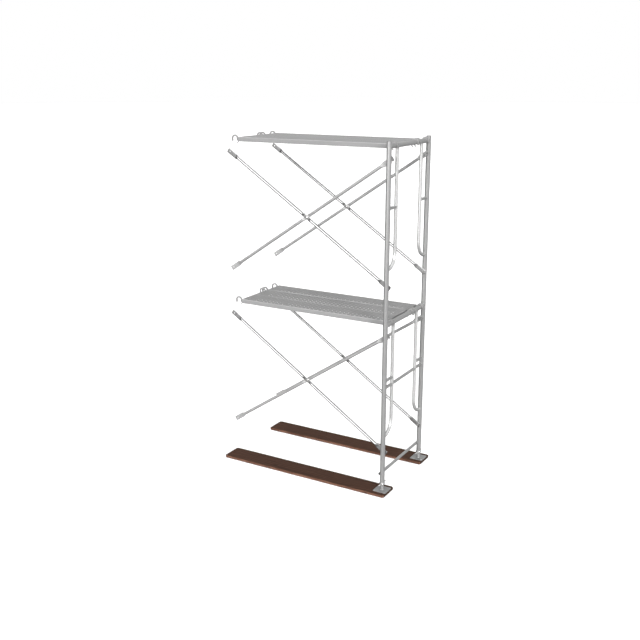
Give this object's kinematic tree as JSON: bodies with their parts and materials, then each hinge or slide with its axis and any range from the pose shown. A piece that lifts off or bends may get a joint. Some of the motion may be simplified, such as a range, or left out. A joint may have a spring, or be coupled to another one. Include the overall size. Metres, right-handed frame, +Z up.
{
  "type": "frame scaffold section",
  "caption": "Two-lift door-frame scaffold section: stacked tube frames on screw jacks and sole boards, cross braces and hook-on steel planks.",
  "frame": {"origin": "on the ground, midway along the bay and midway between the front and rear posts", "axes": "+X along the bay from the free plank ends to the frames, +Y from the front posts to the rear posts, +Z up"},
  "size_m": [1.975, 1.154, 3.555],
  "materials": {
    "galvanised_tube": "satin",
    "galvanised_brace": "satin",
    "galvanised_deck": "matte",
    "galvanised_plate": "matte",
    "galvanised_hook": "matte",
    "galvanised_thread": "satin",
    "cast_nut": "satin",
    "zinc_fastener": "satin",
    "bright_fastener": "satin",
    "sole_board_timber": "matte"
  },
  "bodies": {
    "root": {"base_nails": "bright_fastener", "base_plate_front": "galvanised_plate", "base_plate_rear": "galvanised_plate", "jack_spindle_front": "galvanised_thread", "jack_spindle_rear": "galvanised_thread", "sole_board_front": "sole_board_timber", "sole_board_rear": "sole_board_timber"},
    "frame": {"brace_pins": "zinc_fastener", "brace_rivets": "zinc_fastener", "coupling_pins": "zinc_fastener", "end_guard_rail": "galvanised_tube", "lower_brace_falling_front": "galvanised_brace", "lower_brace_falling_rear": "galvanised_brace", "lower_ledger": "galvanised_tube", "lower_post_front": "galvanised_tube", "lower_post_rear": "galvanised_tube", "lower_stiffener_front": "galvanised_tube", "lower_stiffener_rear": "galvanised_tube", "sill_tube": "galvanised_tube", "stiffener_rungs": "galvanised_tube", "upper_brace_falling_front": "galvanised_brace", "upper_brace_falling_rear": "galvanised_brace", "upper_ledger": "galvanised_tube", "upper_post_front": "galvanised_tube", "upper_post_rear": "galvanised_tube", "upper_stiffener_front": "galvanised_tube", "upper_stiffener_rear": "galvanised_tube"},
    "jack_nut_front": {"jack_nut_front": "cast_nut"},
    "jack_nut_rear": {"jack_nut_rear": "cast_nut"},
    "lower_brace_rising_front": {"lower_brace_rising_front": "galvanised_brace"},
    "lower_lock_front_low": {"lower_lock_front_low": "zinc_fastener"},
    "lower_lock_front_high": {"lower_lock_front_high": "zinc_fastener"},
    "lower_brace_rising_rear": {"lower_brace_rising_rear": "galvanised_brace"},
    "lower_lock_rear_low": {"lower_lock_rear_low": "zinc_fastener"},
    "lower_lock_rear_high": {"lower_lock_rear_high": "zinc_fastener"},
    "lower_plank_wide": {"lower_deck_wide": "galvanised_deck", "lower_hook_beams_wide": "galvanised_hook"},
    "lower_latch_wide_near": {"lower_latch_wide_near": "zinc_fastener"},
    "lower_latch_wide_far": {"lower_latch_wide_far": "zinc_fastener"},
    "lower_plank_narrow": {"lower_deck_narrow": "galvanised_deck", "lower_hook_beams_narrow": "galvanised_hook"},
    "lower_latch_narrow_near": {"lower_latch_narrow_near": "zinc_fastener"},
    "lower_latch_narrow_far": {"lower_latch_narrow_far": "zinc_fastener"},
    "upper_brace_rising_front": {"upper_brace_rising_front": "galvanised_brace"},
    "upper_lock_front_low": {"upper_lock_front_low": "zinc_fastener"},
    "upper_lock_front_high": {"upper_lock_front_high": "zinc_fastener"},
    "upper_brace_rising_rear": {"upper_brace_rising_rear": "galvanised_brace"},
    "upper_lock_rear_low": {"upper_lock_rear_low": "zinc_fastener"},
    "upper_lock_rear_high": {"upper_lock_rear_high": "zinc_fastener"},
    "upper_plank_wide": {"upper_deck_wide": "galvanised_deck", "upper_hook_beams_wide": "galvanised_hook"},
    "upper_latch_wide_near": {"upper_latch_wide_near": "zinc_fastener"},
    "upper_latch_wide_far": {"upper_latch_wide_far": "zinc_fastener"},
    "upper_plank_narrow": {"upper_deck_narrow": "galvanised_deck", "upper_hook_beams_narrow": "galvanised_hook"},
    "upper_latch_narrow_near": {"upper_latch_narrow_near": "zinc_fastener"},
    "upper_latch_narrow_far": {"upper_latch_narrow_far": "zinc_fastener"}
  },
  "joints": [
    {"name": "jack_lift", "type": "slide", "parent": "root", "child": "frame", "axis": [0, 0, 1], "range_m": [0, 0.29]},
    {"name": "jack_nut_front_turn", "type": "hinge", "parent": "frame", "child": "jack_nut_front", "pos_m": [0.9145, -0.457, 0.1], "axis": [0, 0, 1], "range_deg": [0, 13060]},
    {"name": "jack_nut_rear_turn", "type": "hinge", "parent": "frame", "child": "jack_nut_rear", "pos_m": [0.9145, 0.457, 0.1], "axis": [0, 0, 1], "range_deg": [0, 13060]},
    {"name": "lower_brace_front_scissor", "type": "hinge", "parent": "frame", "child": "lower_brace_rising_front", "pos_m": [0, -0.42, 1.0485], "axis": [0, -1, 0], "range_deg": [0, 25]},
    {"name": "lower_lock_front_low_flip", "type": "hinge", "parent": "frame", "child": "lower_lock_front_low", "pos_m": [0.9145, -0.403, 0.439], "axis": [1, 0, 0], "range_deg": [0, 90]},
    {"name": "lower_lock_front_high_flip", "type": "hinge", "parent": "frame", "child": "lower_lock_front_high", "pos_m": [0.9145, -0.403, 1.658], "axis": [1, 0, 0], "range_deg": [0, 90]},
    {"name": "lower_brace_rear_scissor", "type": "hinge", "parent": "frame", "child": "lower_brace_rising_rear", "pos_m": [0, 0.42, 1.0485], "axis": [0, -1, 0], "range_deg": [0, 25]},
    {"name": "lower_lock_rear_low_flip", "type": "hinge", "parent": "frame", "child": "lower_lock_rear_low", "pos_m": [0.9145, 0.403, 0.439], "axis": [-1, 0, 0], "range_deg": [0, 90]},
    {"name": "lower_lock_rear_high_flip", "type": "hinge", "parent": "frame", "child": "lower_lock_rear_high", "pos_m": [0.9145, 0.403, 1.658], "axis": [-1, 0, 0], "range_deg": [0, 90]},
    {"name": "lower_plank_wide_lift", "type": "hinge", "parent": "frame", "child": "lower_plank_wide", "pos_m": [0.9145, 0, 1.785], "axis": [0, 1, 0], "range_deg": [0, 60]},
    {"name": "lower_latch_wide_near_swing", "type": "hinge", "parent": "lower_plank_wide", "child": "lower_latch_wide_near", "pos_m": [0.8715, 0, 1.764], "axis": [0, 1, 0], "range_deg": [0, 70], "stiffness_Nm_per_rad": 0.35, "springref_deg": -34.38},
    {"name": "lower_latch_wide_far_swing", "type": "hinge", "parent": "lower_plank_wide", "child": "lower_latch_wide_far", "pos_m": [-0.8715, 0, 1.764], "axis": [0, -1, 0], "range_deg": [0, 70], "stiffness_Nm_per_rad": 0.35, "springref_deg": -34.38},
    {"name": "lower_plank_narrow_lift", "type": "hinge", "parent": "frame", "child": "lower_plank_narrow", "pos_m": [0.9145, 0, 1.785], "axis": [0, 1, 0], "range_deg": [0, 60]},
    {"name": "lower_latch_narrow_near_swing", "type": "hinge", "parent": "lower_plank_narrow", "child": "lower_latch_narrow_near", "pos_m": [0.8715, 0, 1.764], "axis": [0, 1, 0], "range_deg": [0, 70], "stiffness_Nm_per_rad": 0.35, "springref_deg": -34.38},
    {"name": "lower_latch_narrow_far_swing", "type": "hinge", "parent": "lower_plank_narrow", "child": "lower_latch_narrow_far", "pos_m": [-0.8715, 0, 1.764], "axis": [0, -1, 0], "range_deg": [0, 70], "stiffness_Nm_per_rad": 0.35, "springref_deg": -34.38},
    {"name": "upper_brace_front_scissor", "type": "hinge", "parent": "frame", "child": "upper_brace_rising_front", "pos_m": [0, -0.42, 2.7735], "axis": [0, -1, 0], "range_deg": [0, 25]},
    {"name": "upper_lock_front_low_flip", "type": "hinge", "parent": "frame", "child": "upper_lock_front_low", "pos_m": [0.9145, -0.403, 2.164], "axis": [1, 0, 0], "range_deg": [0, 90]},
    {"name": "upper_lock_front_high_flip", "type": "hinge", "parent": "frame", "child": "upper_lock_front_high", "pos_m": [0.9145, -0.403, 3.383], "axis": [1, 0, 0], "range_deg": [0, 90]},
    {"name": "upper_brace_rear_scissor", "type": "hinge", "parent": "frame", "child": "upper_brace_rising_rear", "pos_m": [0, 0.42, 2.7735], "axis": [0, -1, 0], "range_deg": [0, 25]},
    {"name": "upper_lock_rear_low_flip", "type": "hinge", "parent": "frame", "child": "upper_lock_rear_low", "pos_m": [0.9145, 0.403, 2.164], "axis": [-1, 0, 0], "range_deg": [0, 90]},
    {"name": "upper_lock_rear_high_flip", "type": "hinge", "parent": "frame", "child": "upper_lock_rear_high", "pos_m": [0.9145, 0.403, 3.383], "axis": [-1, 0, 0], "range_deg": [0, 90]},
    {"name": "upper_plank_wide_lift", "type": "hinge", "parent": "frame", "child": "upper_plank_wide", "pos_m": [0.9145, 0, 3.51], "axis": [0, 1, 0], "range_deg": [0, 60]},
    {"name": "upper_latch_wide_near_swing", "type": "hinge", "parent": "upper_plank_wide", "child": "upper_latch_wide_near", "pos_m": [0.8715, 0, 3.489], "axis": [0, 1, 0], "range_deg": [0, 70], "stiffness_Nm_per_rad": 0.35, "springref_deg": -34.38},
    {"name": "upper_latch_wide_far_swing", "type": "hinge", "parent": "upper_plank_wide", "child": "upper_latch_wide_far", "pos_m": [-0.8715, 0, 3.489], "axis": [0, -1, 0], "range_deg": [0, 70], "stiffness_Nm_per_rad": 0.35, "springref_deg": -34.38},
    {"name": "upper_plank_narrow_lift", "type": "hinge", "parent": "frame", "child": "upper_plank_narrow", "pos_m": [0.9145, 0, 3.51], "axis": [0, 1, 0], "range_deg": [0, 60]},
    {"name": "upper_latch_narrow_near_swing", "type": "hinge", "parent": "upper_plank_narrow", "child": "upper_latch_narrow_near", "pos_m": [0.8715, 0, 3.489], "axis": [0, 1, 0], "range_deg": [0, 70], "stiffness_Nm_per_rad": 0.35, "springref_deg": -34.38},
    {"name": "upper_latch_narrow_far_swing", "type": "hinge", "parent": "upper_plank_narrow", "child": "upper_latch_narrow_far", "pos_m": [-0.8715, 0, 3.489], "axis": [0, -1, 0], "range_deg": [0, 70], "stiffness_Nm_per_rad": 0.35, "springref_deg": -34.38}
  ],
  "couplings": [
    {"joint": "jack_nut_front_turn", "follows": "jack_lift", "rad_per_m": 785.4},
    {"joint": "jack_nut_rear_turn", "follows": "jack_lift", "rad_per_m": 785.4}
  ]
}
